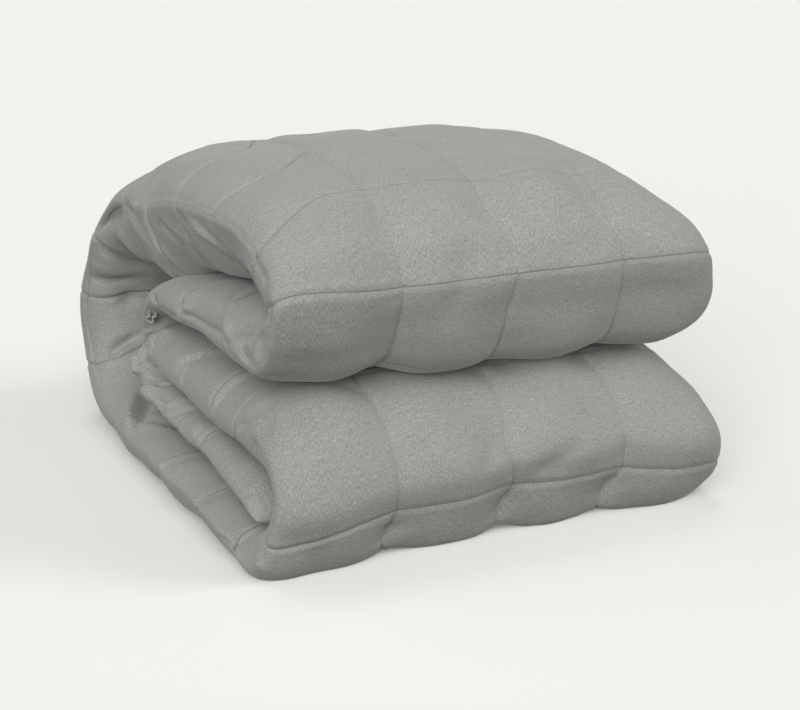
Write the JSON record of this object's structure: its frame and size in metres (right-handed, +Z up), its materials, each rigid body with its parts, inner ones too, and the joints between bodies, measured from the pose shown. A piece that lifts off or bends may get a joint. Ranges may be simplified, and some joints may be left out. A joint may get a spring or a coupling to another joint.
{
  "type": "weighted blanket",
  "caption": "Box-quilted weighted blanket, thickly padded and folded into a neat stack with rounded front folds and a hollow spine.",
  "frame": {"origin": "middle of the folded stack's footprint, on the ground", "axes": "+X across the stack along its folds, +Y from the two front folds to the spine, +Z up"},
  "size_m": [0.4418, 0.525, 0.3083],
  "materials": {
    "plush_cloth": "short-napped plush, soft grey",
    "loop_tape": "woven tape, soft grey"
  },
  "bodies": {
    "root": {"blanket": "plush_cloth", "corner_loop": "loop_tape"}
  },
  "joints": []
}
